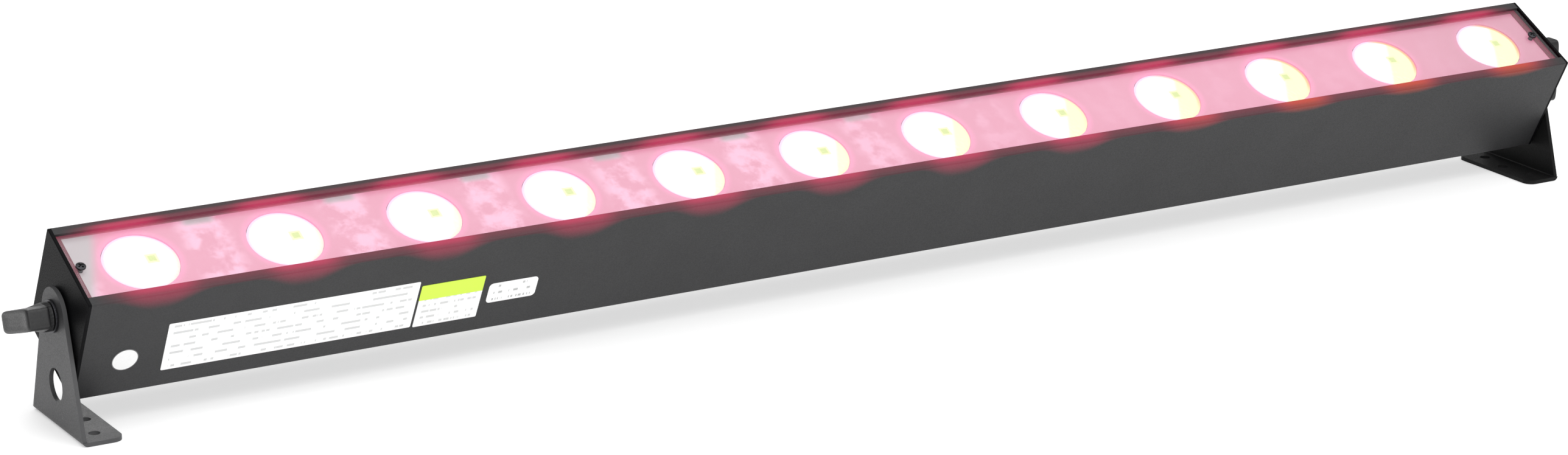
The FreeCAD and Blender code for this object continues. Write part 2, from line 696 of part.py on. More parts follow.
def knob(side):
    """T-knob: a round hub and a bar across its end, moulded onto the stud."""
    piece = new_body(f"{side}_knob")
    hub = new_sketch(piece, "YZ_Plane", HUB_FACE)
    draw_circle(hub, "0", "0", "hub")
    pad(piece, hub, "hub_length + 1")
    bar = new_sketch(piece, "YZ_Plane", f"{HUB_FACE} + hub_length")
    draw_rectangle(bar, "-wing_thick/2", "-wing_span/2", "wing_thick/2", "wing_span/2")
    pad(piece, bar, "wing_depth")
    along = Vector(1, 0, 0)
    round_edges(piece, "wing_corner", lambda edge: runs_along(edge, along)
                and abs(edge.CenterOfMass.y) > 1 and abs(edge.CenterOfMass.z) > 1)
    outer_face = number(f"{HUB_FACE} + hub_length + wing_depth")
    outline = [edge for edge in piece.Tip.Shape.Edges if near(edge, x=outer_face)]
    longest = max(outline, key=lambda edge: edge.Length)
    round_edges(piece, "wing_edge", lambda edge: near(edge, x=outer_face)
                and runs_along(edge, longest.Curve.Direction))
    grip = new_sketch(piece, "YZ_Plane", HUB_FACE)
    draw_circle(grip, "0", "0", "stud")
    pocket(piece, grip, "stud_grip", reverse=True)
    keep(piece, knob_frame(side))


def knob_stud(side):
    stud = rod("x", "stud", f"{HUB_FACE} + stud_grip - {STUD_START}", (STUD_START, "0", "0"))
    keep_group(f"{side}_knob_stud", [stud], knob_frame(side))


# ------------------------------------------------------------------ the whole batten
housing_channel()
housing_screws()
pivot_nuts()
rubber_bumpers()
clear_cover()
cover_gasket()
cover_screws()
reflector_plate()
reflector_pillars()
for number_of_lens in range(LENSES):
    lens(number_of_lens)
led_emitters()
led_board()
heat_spreader()
board_screws()
inner_board("power_supply_board", "supply_start", "supply_length")
parts_on_board("transformer", [("44", "34", "26")], "supply_start + 60", "0")
capacitors()
inner_board("driver_board", "driver_start", "driver_length")
parts_on_board("driver_chips", [("14", "10", "3")]*6, "driver_start + 25", "14")
board_standoffs()
control_board()
display_window()
display_module()
button_switches()
for place_in_row, button_label in enumerate(BUTTONS):
    button(place_in_row, button_label)
for socket_label, socket_place in SOCKETS.items():
    chassis_socket(socket_label, socket_place)
fuse_holder()
labels()
for side_name in SIDES:
    end_plate(side_name)
    bracket(side_name)
    friction_disc(side_name)
    washer(side_name)
    knob(side_name)
    knob_stud(side_name)
doc.recompute()

# ------------------------------------------------------------------ checks and export
for item in doc.Objects:
    if "Invalid" in item.State or "Error" in item.State:
        raise RuntimeError(f"{item.Label} did not compute: {item.State}")
for node in NODES:
    if node.Shape.isNull() or not node.Shape.isValid() or not node.Shape.Solids:
        raise RuntimeError(f"{node.Label} has no valid solid")

os.makedirs("parts", exist_ok=True)
for node in NODES:
    node.Shape.exportStep(f"parts/{node.Label}.step")
print(len(NODES), "sub-parts written")
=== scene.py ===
import json
import math
import random

import bmesh
import bpy
from mathutils import Matrix, Vector


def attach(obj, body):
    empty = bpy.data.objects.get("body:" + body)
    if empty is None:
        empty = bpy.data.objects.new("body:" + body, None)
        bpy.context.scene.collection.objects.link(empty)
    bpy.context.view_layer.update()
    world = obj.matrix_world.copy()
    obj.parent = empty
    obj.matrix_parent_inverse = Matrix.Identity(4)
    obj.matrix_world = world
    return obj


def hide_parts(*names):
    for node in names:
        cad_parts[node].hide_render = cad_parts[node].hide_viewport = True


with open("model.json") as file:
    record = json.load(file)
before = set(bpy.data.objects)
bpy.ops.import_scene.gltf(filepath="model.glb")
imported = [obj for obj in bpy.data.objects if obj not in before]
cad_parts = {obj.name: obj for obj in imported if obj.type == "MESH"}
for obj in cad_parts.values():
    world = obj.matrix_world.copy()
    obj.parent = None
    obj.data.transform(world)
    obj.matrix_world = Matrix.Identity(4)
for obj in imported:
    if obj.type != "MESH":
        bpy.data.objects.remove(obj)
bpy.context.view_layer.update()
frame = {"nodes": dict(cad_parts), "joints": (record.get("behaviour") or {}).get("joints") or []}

# Every size here is in metres.  "Housing coordinates" have their origin where the tilt axis crosses
# mid-length, X along the batten and Z the way the lenses face.
MM = 0.001


# ------------------------------------------------------------------ what the frame says
def joint(name):
    return next(item for item in frame["joints"] if item["name"] == name)


PIVOT = Vector((0, 0, joint("left_tilt")["pos_m"][2]))
PRESS = joint("menu_button_press")["axis"]
TILT = math.atan2(-PRESS[2], -PRESS[1])
HOUSING = Matrix.Translation(PIVOT) @ Matrix.Rotation(TILT, 4, "X")
OUTWARD = Matrix.Rotation(-math.pi / 2, 4, "X")  # turns a piece's Z axis out of the back wall


def housing_box(node):
    """Lowest and highest corner of a CAD node in housing coordinates."""
    inverse = HOUSING.inverted()
    points = [inverse @ vertex.co for vertex in frame["nodes"][node].data.vertices]
    low = Vector([min(point[axis] for point in points) for axis in range(3)])
    high = Vector([max(point[axis] for point in points) for axis in range(3)])
    return low, high


BODY_LOW, BODY_HIGH = housing_box("housing_channel")
PLATE_LOW, PLATE_HIGH = housing_box("reflector_plate")
LENS_NODES = sorted(name for name in frame["nodes"] if name.startswith("lens_"))
LENS_CENTRES = [sum(housing_box(name), Vector()).x / 2 for name in LENS_NODES]
LENS_PITCH = (LENS_CENTRES[-1] - LENS_CENTRES[0]) / (len(LENS_CENTRES) - 1)
LENS_LOW, LENS_HIGH = housing_box(LENS_NODES[0])
LENS_RADIUS = (LENS_HIGH.x - LENS_LOW.x) / 2


# ------------------------------------------------------------------ camera and light
CAMERA_PLACE = Vector((-1.2833, -2.0350, 0.7735))
CAMERA_RIGHT = Vector((0.85703, -0.51522, 0.00734))
CAMERA_UP = Vector((0.14523, 0.25520, 0.95592))
CAMERA_LENS = 98.45  # in mm, on a sensor 36 mm wide


def make_camera():
    data = bpy.data.cameras.new("camera")
    data.sensor_width = 36
    data.lens = CAMERA_LENS
    camera = bpy.data.objects.new("camera", data)
    bpy.context.scene.collection.objects.link(camera)
    axes = (CAMERA_RIGHT, CAMERA_UP, CAMERA_RIGHT.cross(CAMERA_UP))
    camera.matrix_world = Matrix.Translation(CAMERA_PLACE) @ Matrix(axes).transposed().to_4x4()
    bpy.context.scene.camera = camera


def aimed_light(kind, name, where, power, aim=(0, 0, 0.05), **settings):
    data = bpy.data.lights.new(name, kind)
    data.energy = power
    for setting, value in settings.items():
        setattr(data, setting, value)
    lamp = bpy.data.objects.new(name, data)
    bpy.context.scene.collection.objects.link(lamp)
    lamp.location = where
    lamp.rotation_mode = "QUATERNION"
    lamp.rotation_quaternion = (Vector(aim) - Vector(where)).to_track_quat("-Z", "Y")


def make_world():
    """White to the camera, and a softer grey as a source of light."""
    world = bpy.data.worlds.new("studio")
    world.use_nodes = True
    bpy.context.scene.world = world
    nodes, links = world.node_tree.nodes, world.node_tree.links
    background = nodes["Background"]
    background.inputs["Color"].default_value = (1, 1, 1, 1)
    path = nodes.new("ShaderNodeLightPath")
    strength = nodes.new("ShaderNodeMapRange")
    strength.inputs["To Min"].default_value = 0.42
    strength.inputs["To Max"].default_value = 1.0
    links.new(path.outputs["Is Camera Ray"], strength.inputs["Value"])
    links.new(strength.outputs[0], background.inputs["Strength"])


def make_studio():
    bpy.context.scene.view_settings.view_transform = "Standard"
    make_world()
    aimed_light("SUN", "overhead", (0.25, -0.7, 2.2), 2.1, angle=math.radians(75))
    aimed_light("AREA", "front_fill", (-0.35, -1.9, 0.75), 9, shape="RECTANGLE", size=1.6, size_y=0.7)
    aimed_light("AREA", "rear_fill", (0.5, 1.9, 1.0), 12, shape="RECTANGLE", size=1.6, size_y=0.7)

    bpy.ops.mesh.primitive_grid_add(x_subdivisions=2, y_subdivisions=2, size=60)
    floor = bpy.context.object
    floor.name = "floor"
    paper = Surface("floor_paper")
    paper.shade(base=(0.76, 0.76, 0.76, 1), roughness=0.9,
                Emission_Color=(1, 1, 1, 1), Emission_Strength=0.42)
    floor.data.materials.append(paper.material)


# ------------------------------------------------------------------ procedural surfaces
class Surface:
    """A procedural material under construction; the helpers add nodes and return their outputs."""

    def __init__(self, name):
        self.material = bpy.data.materials.new(name)
        self.material.use_nodes = True
        self.tree = self.material.node_tree
        self.shader = self.tree.nodes["Principled BSDF"]

    def feed(self, socket, value):
        if isinstance(value, bpy.types.NodeSocket):
            self.tree.links.new(value, socket)
        else:
            socket.default_value = value

    def add(self, kind, inputs=None, **properties):
        node = self.tree.nodes.new(f"ShaderNode{kind}")
        for name, value in properties.items():
            setattr(node, name, value)
        for key, value in (inputs or {}).items():
            self.feed(node.inputs[key], value)
        return node

    def math(self, operation, *values):
        return self.add("Math", dict(enumerate(values)), operation=operation).outputs[0]

    def ramp(self, value, low, high, out_low=0.0, out_high=1.0):
        """Smooth step from out_low to out_high while value goes from low to high."""
        node = self.add("MapRange", {"Value": value, "From Min": low, "From Max": high,
                                     "To Min": out_low, "To Max": out_high}, interpolation_type="SMOOTHSTEP")
        return node.outputs[0]

    def mix(self, factor, first, second):
        node = self.add("Mix", {"Factor": factor, 6: first, 7: second}, data_type="RGBA")
        return node.outputs[2]

    def row_point(self):
        """The shaded point in its object's own coordinates, which are the world's while at rest."""
        return self.add("TexCoord").outputs["Object"]

    def housing_point(self):
        """The shaded point in housing coordinates."""
        inputs = {"Vector": self.row_point(), "Location": PIVOT, "Rotation": (TILT, 0, 0)}
        return self.add("Mapping", inputs, vector_type="TEXTURE").outputs[0]

    def split(self, point):
        return self.add("SeparateXYZ", {0: point}).outputs

    def noise(self, point, scale, detail=4.0, roughness=0.6):
        inputs = {"Vector": point, "Scale": scale, "Detail": detail, "Roughness": roughness}
        return self.add("TexNoise", inputs).outputs[0]

    def bump(self, height, strength, distance):
        inputs = {"Height": height, "Strength": strength, "Distance": distance}
        self.feed(self.shader.inputs["Normal"], self.add("Bump", inputs).outputs[0])

    def shade(self, base=None, roughness=None, metallic=0.0, **more):
        settings = {"Base_Color": base, "Roughness": roughness, "Metallic": metallic, **more}
        for name, value in settings.items():
            if value is not None:
                self.feed(self.shader.inputs[name.replace("_", " ")], value)
        return self


def from_lens(surface, x, y):
    """Signed distance along the row from the nearest lens centre, and distance from that centre."""
    cell = surface.math("SUBTRACT", surface.math("FRACT", surface.math("DIVIDE", x, LENS_PITCH)), 0.5)
    along = surface.math("MULTIPLY", cell, LENS_PITCH)
    squares = [surface.math("POWER", surface.math("ABSOLUTE", side), 2) for side in (along, y)]
    return along, surface.math("SQRT", surface.math("ADD", *squares))


def powder_coat(name, base, glow=False, specular=0.5, wear=0.0):
    """Fine-textured powder coat; glow adds the red light that the channel's lips catch."""
    coat = Surface(name)
    point = coat.row_point()
    cloud = coat.noise(point, 30, 3)
    grain = coat.noise(point, 1400, 2)
    dark, light = [(*(value * share for value in base), 1) for share in (0.8, 1.25)]
    colour = coat.mix(cloud, dark, light)
    streaks = coat.add("Mapping", {"Vector": point, "Scale": (260, 40, 150)}).outputs[0]
    scuff = coat.ramp(coat.noise(streaks, 1.0, 6, 0.75), 0.66, 0.74, 0, wear)
    colour = coat.mix(scuff, colour, (0.32, 0.32, 0.33, 1))
    coat.shade(base=colour, roughness=coat.ramp(grain, 0.3, 0.7, 0.42, 0.6), Specular_IOR_Level=specular)
    coat.bump(grain, 0.35, 0.15 * MM)
    if glow:
        lip_glow(coat)
    return coat.material


def lip_glow(coat):
    """Crimson along the lips, strongest beside each lens, and orange in front of the last few."""
    x, y, z = coat.split(coat.housing_point())
    along, _ = from_lens(coat, x, y)
    beside = coat.ramp(coat.math("ABSOLUTE", along), 32 * MM, 3 * MM)
    reach = coat.ramp(x, 0, 0.3, 10 * MM, 4 * MM)
    depth = coat.math("SUBTRACT", BODY_HIGH.z - 1.5 * MM, coat.math("MULTIPLY", beside, reach))
    off_centre = coat.math("ABSOLUTE", y)
    on_lip = coat.math("MULTIPLY", coat.ramp(off_centre, BODY_HIGH.y - 0.3 * MM, BODY_HIGH.y - 0.6 * MM),
                       coat.ramp(z, BODY_HIGH.z - 6 * MM, BODY_HIGH.z - 4 * MM))
    near_top = coat.math("MAXIMUM", coat.ramp(z, depth, BODY_HIGH.z), on_lip)
    rim = coat.ramp(y, 0.02, 0.03, 0.5, 0.12)
    outer = coat.ramp(y, 0.02, 0.03, BODY_HIGH.y, BODY_HIGH.y - 2.5 * MM)
    inward = coat.ramp(off_centre, outer, BODY_HIGH.y - 5 * MM, rim, 1.0)
    ends = coat.ramp(coat.math("ABSOLUTE", x), BODY_HIGH.x - 1 * MM, BODY_HIGH.x - 24 * MM)
    power = coat.ramp(beside, 0, 1, 0.28, 1.0)
    for share in (near_top, inward, ends):
        power = coat.math("MULTIPLY", power, share)
    front = coat.ramp(y, 0.02, -0.02)
    warm = coat.math("MULTIPLY", coat.math("MULTIPLY", coat.ramp(x, 0.12, 0.32), beside), front)
    colour = coat.mix(warm, (0.62, 0.012, 0.09, 1), (0.72, 0.05, 0.01, 1))
    coat.shade(Emission_Color=colour, Emission_Strength=coat.math("MULTIPLY", power, 0.75))


def lit_plate():
    """Reflector plate lit pink by the lenses, with paler patches, and grey where little light falls."""
    plate = Surface("lit_reflector")
    x, y = plate.split(plate.housing_point())[:2]
    along, distance = from_lens(plate, x, y)
    point = plate.row_point()
    cloud = plate.ramp(plate.noise(point, 75, 4), 0.4, 0.62)
    middle = plate.ramp(plate.math("ABSOLUTE", along), 23 * MM, 34 * MM)
    pink, pale = (0.56, 0.08, 0.21, 1), (0.74, 0.28, 0.46, 1)
    rose, dim_right_light = (0.80, 0.11, 0.36, 1), (0.36, 0.04, 0.12, 1)
    pale_share = plate.math("MULTIPLY", middle, plate.ramp(x, 0.16, -0.1, 0.12, 1.0))
    colour = plate.mix(plate.math("MULTIPLY", pale_share, cloud), pink, pale)
    halo = plate.ramp(distance, LENS_RADIUS + 0.5 * MM, LENS_RADIUS + 5 * MM, 0.55, 0)
    colour = plate.mix(halo, colour, rose)
    # Painted shade: the plate's pink light grows dimmer towards the right end.
    colour = plate.mix(plate.ramp(x, 0.34, 0.47, 0, 0.6), colour, dim_right_light)
    past_end = plate.ramp(plate.math("SUBTRACT", x, plate.math("MULTIPLY", y, 0.35)),
                          PLATE_LOW.x + 17 * MM, PLATE_LOW.x + 9 * MM, 0, 0.9)
    behind = plate.math("MULTIPLY", plate.ramp(y, 19 * MM, 23 * MM, 0, 0.8),
                        plate.ramp(plate.math("ABSOLUTE", along), 30 * MM, 36 * MM))
    behind = plate.math("MULTIPLY", behind, plate.ramp(x, 0.12, -0.06))
    unlit = plate.math("MAXIMUM", past_end, behind)
    colour = plate.mix(unlit, colour, (0.24, 0.23, 0.235, 1))
    plate.shade(base=(0.24, 0.24, 0.24, 1), roughness=0.45, Emission_Color=colour, Emission_Strength=1.0)
    plate.bump(plate.noise(point, 500, 2), 0.2, 0.2 * MM)
    return plate.material


def lit_gasket():
    """Dark silicone strip that the lenses tint crimson."""
    strip = Surface("lit_gasket")
    x, y = strip.split(strip.housing_point())[:2]
    along, _ = from_lens(strip, x, y)
    grain = strip.noise(strip.row_point(), 900, 3)
    strip.shade(base=(0.05, 0.05, 0.05, 1), roughness=strip.ramp(grain, 0.3, 0.7, 0.5, 0.7),
                Emission_Color=(0.5, 0.01, 0.08, 1),
                Emission_Strength=strip.ramp(strip.math("ABSOLUTE", along), 34 * MM, 6 * MM, 0.3, 0.9))
    strip.bump(grain, 0.2, 0.1 * MM)
    return strip.material


def lens_face():
    """Bright lens with a pale rim, a yellow chip inside and a warm side that grows along the row; the yellow
    part and the warm side are painted light, fixed on one side of each lens.
    """
    face = Surface("lens_face")
    x, y = face.split(face.housing_point())[:2]
    along, distance = from_lens(face, x, y)
    white, rim, chip = (1.1, 1.1, 1.1, 1), (0.95, 0.66, 0.86, 1), (0.64, 0.74, 0.26, 1)
    colour = face.mix(face.ramp(distance, LENS_RADIUS - 2.6 * MM, LENS_RADIUS - 0.8 * MM), white, rim)
    # Painted light: the yellow part and the orange rim are the lamp's light as seen from one side, painted on
    # the same side of every lens. The yellow part has a straight edge turned a little forward, and the orange
    # rim sits a little back.
    across = face.math("SUBTRACT", face.math("MULTIPLY", along, 0.89), face.math("MULTIPLY", y, 0.45))
    side = face.math("ADD", face.math("MULTIPLY", along, 0.9), face.math("MULTIPLY", y, 0.4))
    start = face.ramp(x, -0.2, 0.4, 13 * MM, 1 * MM)
    patch = face.ramp(across, start, face.math("ADD", start, 4 * MM), 0, 0.85)
    yellow_glow_share = face.math("MULTIPLY", patch, face.ramp(x, -0.6, 0.2, 0.4, 1.0))
    colour = face.mix(yellow_glow_share, colour, (1.0, 0.95, 0.46, 1))
    near_rim = face.ramp(distance, LENS_RADIUS - 3 * MM, LENS_RADIUS - 1 * MM)
    orange_glow_side = face.math("MULTIPLY", face.ramp(side, 6 * MM, 15 * MM), face.ramp(x, 0.05, 0.35, 0, 0.9))
    edge = face.math("MULTIPLY", near_rim, orange_glow_side)
    colour = face.mix(edge, colour, (1.0, 0.42, 0.13, 1))
    chip_place = (6.6 * MM, 0.8 * MM)
    from_chip = [face.math("ABSOLUTE", face.math("SUBTRACT", value, place))
                 for value, place in zip((along, y), chip_place)]
    square = face.math("MAXIMUM", *from_chip)
    colour = face.mix(face.ramp(square, 4.0 * MM, 3.0 * MM), colour, (1.0, 1.0, 0.5, 1))
    colour = face.mix(face.ramp(square, 2.6 * MM, 1.8 * MM), colour, chip)
    facets = face.add("TexVoronoi", {"Vector": face.row_point(), "Scale": 420}).outputs["Distance"]
    face.shade(base=(0.1, 0.1, 0.1, 1), roughness=0.15, Emission_Color=colour, Emission_Strength=1.0)
    face.bump(facets, 0.4, 0.4 * MM)
    return face.material


def clear_sheet():
    sheet = Surface("clear_sheet")
    wipe = sheet.noise(sheet.row_point(), 25, 5, 0.7)
    sheet.shade(base=(0.95, 0.95, 0.97, 1), roughness=sheet.ramp(wipe, 0.3, 0.8, 0.04, 0.12), Alpha=0.05)
    return sheet.material


def metal(name, base, low, high, scale=900):
    """Plated or bare metal with fine directionless scratches."""
    surface = Surface(name)
    grain = surface.noise(surface.row_point(), scale, 5, 0.7)
    surface.shade(base=(*base, 1), metallic=1.0, roughness=surface.ramp(grain, 0.3, 0.7, low, high))
    surface.bump(grain, 0.15, 0.1 * MM)
    return surface.material


def moulded(name, base, low, high, scale=1100, depth=0.2):
    """Moulded plastic or rubber with a fine eroded texture."""
    surface = Surface(name)
    point = surface.row_point()
    grain = surface.noise(point, scale, 3)
    dark, light = [(*(value * share for value in base), 1) for share in (0.85, 1.15)]
    surface.shade(base=surface.mix(surface.noise(point, 45, 3), dark, light),
                  roughness=surface.ramp(grain, 0.3, 0.7, low, high))
    surface.bump(grain, depth, 0.15 * MM)
    return surface.material


def printed_label(name, node, band=False, rows=7, ink=0.6, words_per_metre=150, paper=0.97):
    """White film with faint grey bars that spell nothing; one label has a yellow-green band on top."""
    label = Surface(name)
    low, high = housing_box(node)
    x, _, z = label.split(label.housing_point())
    row = label.math("MULTIPLY", label.math("DIVIDE", label.math("SUBTRACT", z, low.z), high.z - low.z), rows)
    line = label.math("FRACT", row)
    on_line = label.math("MULTIPLY", label.ramp(line, 0.30, 0.36), label.ramp(line, 0.70, 0.64))
    words = {0: label.math("MULTIPLY", x, words_per_metre),
             1: label.math("MULTIPLY", label.math("FLOOR", row), 7.3)}
    gaps = label.noise(label.add("CombineXYZ", words).outputs[0], 1.0, 2.0)
    margin = label.math("MULTIPLY", label.ramp(x, low.x + 3 * MM, low.x + 3.5 * MM),
                        label.ramp(x, high.x - 3 * MM, high.x - 3.5 * MM))
    ink_mask = label.math("MULTIPLY", label.math("MULTIPLY", on_line, label.ramp(gaps, 0.50, 0.52)), margin)
    colour = label.mix(ink_mask, (paper, paper, paper, 1), (ink, ink, ink, 1))
    if band:
        edge = high.z - (high.z - low.z) * 0.36
        colour = label.mix(label.ramp(z, edge - 0.1 * MM, edge + 0.1 * MM), colour, (0.62, 0.86, 0.06, 1))
    label.shade(base=colour, roughness=0.35)
    label.bump(label.noise(label.row_point(), 700, 2), 0.05, 0.1 * MM)
    return label.material


def ringed_sticker():
    """Round paper dot with a thin dark edge."""
    dot = Surface("round_sticker_paper")
    low, high = housing_box("round_sticker")
    x, _, z = dot.split(dot.housing_point())
    across = dot.math("POWER", dot.math("ABSOLUTE", dot.math("SUBTRACT", x, (low.x + high.x) / 2)), 2)
    up = dot.math("POWER", dot.math("ABSOLUTE", dot.math("SUBTRACT", z, (low.z + high.z) / 2)), 2)
    radius = (high.x - low.x) / 2
    edge = dot.ramp(dot.math("SQRT", dot.math("ADD", across, up)), radius - 0.6 * MM, radius - 0.4 * MM)
    fibres = dot.mix(dot.noise(dot.row_point(), 900, 4), (0.80, 0.80, 0.80, 1), (0.90, 0.90, 0.89, 1))
    dot.shade(base=dot.mix(edge, fibres, (0.12, 0.12, 0.12, 1)), roughness=0.45)
    return dot.material


def tinted_window():
    window = Surface("tinted_window")
    smear = window.noise(window.row_point(), 60, 4)
    window.shade(base=(0.02, 0.006, 0.008, 1), roughness=window.ramp(smear, 0.3, 0.7, 0.05, 0.14))
    return window.material


MATERIALS = {}


def make_materials():
    MATERIALS.update({
        "channel": powder_coat("channel_coat", (0.024, 0.024, 0.025), glow=True, specular=0.35),
        # The end plates get a far darker, less reflective copy of the channel's coat: painted shade on the
        # end faces, which turn away from the light.
        "end": powder_coat("shaded_end_coat", (0.003, 0.003, 0.0035), specular=0.06),
        "bracket": powder_coat("bracket_coat", (0.064, 0.064, 0.066), specular=0.35, wear=0.5),
        # The right bracket gets a much darker copy of the bracket coat: painted shade, as it sits in the
        # housing's shadow.
        "shaded_bracket": powder_coat("shaded_bracket_coat", (0.006, 0.006, 0.006), specular=0.15, wear=0.5),
        "plate": lit_plate(), "lens": lens_face(), "cover": clear_sheet(),
        "zinc": metal("zinc_plate", (0.62, 0.62, 0.65), 0.25, 0.42),
        "black_steel": metal("black_oxide", (0.05, 0.05, 0.055), 0.3, 0.5),
        "bright": metal("bright_plate", (0.78, 0.78, 0.8), 0.12, 0.25),
        "aluminium": metal("mill_aluminium", (0.72, 0.72, 0.74), 0.3, 0.5),
        "brass": metal("turned_brass", (0.75, 0.56, 0.25), 0.2, 0.35),
        "knob": moulded("knob_plastic", (0.007, 0.007, 0.0075), 0.4, 0.55),
        "socket": moulded("socket_plastic", (0.03, 0.03, 0.032), 0.3, 0.45),
        "button": moulded("button_rubber", (0.05, 0.05, 0.055), 0.5, 0.65),
        "rubber": moulded("bumper_rubber", (0.02, 0.02, 0.02), 0.6, 0.8, 700, 0.4),
        "gasket": lit_gasket(),
        "nylon": moulded("black_nylon", (0.05, 0.05, 0.05), 0.4, 0.55),
        "board": moulded("solder_mask_green", (0.02, 0.15, 0.06), 0.2, 0.3),
        "board_white": moulded("solder_mask_white", (0.8, 0.8, 0.8), 0.25, 0.35),
        "component": moulded("component_black", (0.04, 0.04, 0.045), 0.35, 0.5),
        "sticker": ringed_sticker(),
        "window": tinted_window(),
        "rating": printed_label("rating_print", "rating_label"),
        "notice": printed_label("notice_print", "notice_label", band=True,
                                words_per_metre=300, paper=0.86),
        "small": printed_label("small_print", "small_label", rows=3, ink=0.45,
                               words_per_metre=330, paper=0.93),
    })


NODE_MATERIALS = {
    "channel": ["housing_channel"],
    # Painted shade: the end plates wear the darker copy of the coat.
    "end": ["left_end_plate", "right_end_plate"],
    "bracket": ["left_bracket"],
    # Painted shade: the right bracket wears the darker copy of the bracket coat.
    "shaded_bracket": ["right_bracket"],
    "plate": ["reflector_plate"], "cover": ["clear_cover"],
    "zinc": ["pivot_nuts", "left_knob_stud", "right_knob_stud"],
    "black_steel": ["housing_screws", "cover_screws", "left_washer", "right_washer"],
    "bright": ["board_screws"],
    "aluminium": ["heat_spreader"], "brass": ["reflector_pillars", "board_standoffs"],
    "knob": ["left_knob", "right_knob"],
    "socket": ["power_inlet", "power_outlet", "data_in_socket", "data_out_socket", "fuse_holder"],
    "button": ["menu_button", "down_button", "up_button", "enter_button"],
    "rubber": ["rubber_bumpers"], "gasket": ["cover_gasket"],
    "nylon": ["left_friction_disc", "right_friction_disc"],
    "board": ["power_supply_board", "driver_board", "control_board"], "board_white": ["led_board"],
    "component": ["transformer", "capacitors", "driver_chips", "button_switches", "display_module"],
    "window": ["display_window"], "lens": ["led_emitters"],
    "rating": ["rating_label"], "notice": ["notice_label"], "small": ["small_label"],
    "sticker": ["round_sticker"],
}


def dress_nodes():
    for material, nodes in NODE_MATERIALS.items():
        for node in nodes:
            mesh = frame["nodes"][node].data
            mesh.materials.clear()
            mesh.materials.append(MATERIALS[material])


# ------------------------------------------------------------------ mesh helpers
def add_piece(name, mesh_data, material, slot, *nodes, body="housing"):
    """A piece with its mesh in world coordinates at rest; it rides on a body and replaces CAD nodes."""
    bmesh.ops.recalc_face_normals(mesh_data, faces=mesh_data.faces)
    mesh = bpy.data.meshes.new(name)
    mesh_data.to_mesh(mesh)
    mesh_data.free()
    mesh.materials.append(MATERIALS[material])
    piece = bpy.data.objects.new(name, mesh)
    bpy.context.scene.collection.objects.link(piece)
    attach(piece, body)
    if nodes:
        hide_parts(*nodes)
    return piece


def loft(mesh_data, rings, smooth=True):
    """Skin a list of rings of points; a ring of one point closes an end to a tip."""
    layers = [[mesh_data.verts.new(point) for point in ring] for ring in rings]
    for first, second in zip(layers, layers[1:]):
        count = max(len(first), len(second))
        for step in range(count):
            following = (step + 1) % count
            corners = [first[step % len(first)], first[following % len(first)],
                       second[following % len(second)], second[step % len(second)]]
            face = mesh_data.faces.new(list(dict.fromkeys(corners)))
            face.smooth = smooth


def circle_ring(matrix, radius, height, segments):
    """Circle about the matrix's Z axis, or one point where the radius is zero."""
    angles = [2 * math.pi * step / segments for step in range(segments if radius > 1e-7 else 1)]
    return [matrix @ Vector((radius * math.cos(angle), radius * math.sin(angle), height)) for angle in angles]


def lathe(mesh_data, profile, matrix, segments=48):
    """Turn a profile of (radius, height) pairs, axis to axis, about the matrix's Z axis."""
    loft(mesh_data, [circle_ring(matrix, radius, height, segments) for radius, height in profile])


def islands(node):
    """The separate solids of a node, as (lowest corner, highest corner) in housing coordinates."""
    data = bmesh.new()
    data.from_mesh(frame["nodes"][node].data)
    bmesh.ops.remove_doubles(data, verts=data.verts, dist=1e-6)
    inverse = HOUSING.inverted()
    waiting, found = set(data.verts), []
    while waiting:
        group, fringe = [], [waiting.pop()]
        while fringe:
            vertex = fringe.pop()
            group.append(inverse @ vertex.co)
            for edge in vertex.link_edges:
                other = edge.other_vert(vertex)
                if other in waiting:
                    waiting.remove(other)
                    fringe.append(other)
        low = Vector([min(point[axis] for point in group) for axis in range(3)])
        high = Vector([max(point[axis] for point in group) for axis in range(3)])
        found.append((low, high))
    data.free()
    return sorted(found, key=lambda box: tuple(round(value, 5) for value in box[0]))


# ------------------------------------------------------------------ pieces
def lens_profile():
    """Section of a collimator: convex face, rim, curved side, foot, and the well over the emitter."""
    base, top = LENS_LOW.z, LENS_HIGH.z
    neck, foot, well, flange = LENS_RADIUS - 1 * MM, 8 * MM, 5.4 * MM, 1.8 * MM
    face = [(LENS_RADIUS * 0.96 * step / 14, top - 0.9 * MM * (step / 14) ** 2) for step in range(15)]
    rim = [(LENS_RADIUS - 0.2 * MM, top - 1.0 * MM), (LENS_RADIUS, top - 1.2 * MM),
           (LENS_RADIUS, top - flange), (neck, top - flange - 0.1 * MM)]
    drop = top - flange - 0.1 * MM - base
    side = [(neck + (foot - neck) * (step / 10) ** 1.35, base + drop * (1 - step / 10))
            for step in range(1, 11)]
    inside = [(well, base), (well, base + 2.2 * MM),
              (well - 0.8 * MM, base + 2.7 * MM), (0, base + 2.8 * MM)]
    return face + rim + side + inside


def make_lenses():
    for node, centre in zip(LENS_NODES, LENS_CENTRES):
        data = bmesh.new()
        lathe(data, lens_profile(), HOUSING @ Matrix.Translation((centre, 0, 0)), 72)
        add_piece(f"{node}_moulding", data, "lens", "lens_plastic", node)


def cross_recess(x, y):
    """Depth of a cross-head recess at a point of a screw head, as a share of its full depth."""
    half_slot, reach = 0.42 * MM, 1.75 * MM
    across, along = sorted((abs(x), abs(y)))
    if across > half_slot or along > reach:
        return 0.0
    return 1.0 - 0.55 * along / reach


